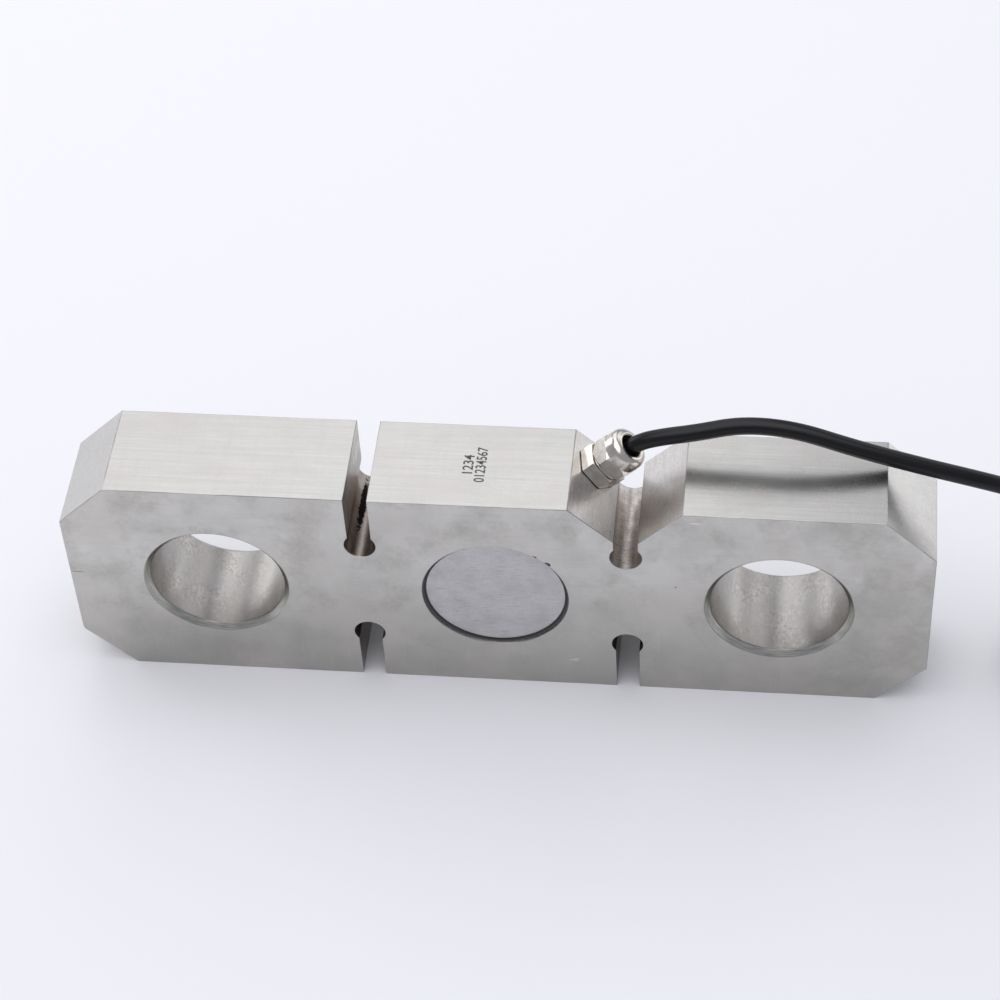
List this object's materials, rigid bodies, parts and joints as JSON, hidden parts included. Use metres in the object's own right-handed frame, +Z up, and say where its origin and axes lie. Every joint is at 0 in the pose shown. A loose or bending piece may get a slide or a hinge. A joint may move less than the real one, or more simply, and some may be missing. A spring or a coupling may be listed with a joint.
{
  "type": "tension link load cell",
  "caption": "Ground steel tension link load cell with two pin bores, keyhole relief slots, sealed round gauge covers and an angled cable gland.",
  "frame": {"origin": "centre of the block's underside, on the floor", "axes": "+X along the link towards the cable's side, +Y along the pin bores away from the pictured face, +Z up"},
  "size_m": [0.4622, 0.0496, 0.1008],
  "materials": {
    "ground_steel": "ground and milled alloy steel, satin, edges lightly broken",
    "cover_steel": "turned stainless disc, fine cloudy satin",
    "sealing_compound": "dark cured sealing compound",
    "gauge_film": "polyimide film with an etched foil grid",
    "enamelled_wire": "enamelled copper",
    "jumper_insulation": "thin insulated hook-up wire",
    "board_laminate": "glass-fibre laminate with solder mask",
    "resistor_body": "lacquered resistor",
    "red_insulation": "coloured wire insulation",
    "green_insulation": "coloured wire insulation",
    "white_insulation": "coloured wire insulation",
    "black_insulation": "coloured wire insulation",
    "gland_rubber": "black moulded rubber",
    "nickel_plate": "nickel plate on brass, bright",
    "claw_plastic": "moulded polyamide",
    "cable_jacket": "black extruded jacket with a soft sheen",
    "tie_nylon": "black moulded nylon",
    "tinned_copper": "tinned copper strands"
  },
  "bodies": {
    "root": {"element_block": "ground_steel", "front_cover": "cover_steel", "rear_cover": "cover_steel", "front_cover_seal": "sealing_compound", "rear_cover_seal": "sealing_compound", "gauge_front_left": "gauge_film", "gauge_front_right": "gauge_film", "gauge_rear_left": "gauge_film", "gauge_rear_right": "gauge_film", "gauge_wires_front": "enamelled_wire", "gauge_wires_rear": "enamelled_wire", "bridge_jumper_wires": "jumper_insulation", "terminal_board": "board_laminate", "front_terminal_strip": "board_laminate", "zero_balance_resistor": "resistor_body", "span_resistor": "resistor_body", "inner_wire_red": "red_insulation", "inner_wire_green": "green_insulation", "inner_wire_white": "white_insulation", "inner_wire_black": "black_insulation", "gland_gasket": "gland_rubber", "gland_body": "nickel_plate", "gland_cap": "nickel_plate", "gland_insert": "gland_rubber", "gland_claw": "claw_plastic", "cable": "cable_jacket", "cable_hank": "cable_jacket", "cable_tail": "cable_jacket", "hank_tie_front": "tie_nylon", "hank_tie_rear": "tie_nylon", "lead_red": "red_insulation", "lead_green": "green_insulation", "lead_white": "white_insulation", "lead_black": "black_insulation", "shield_drain": "tinned_copper"}
  },
  "joints": []
}
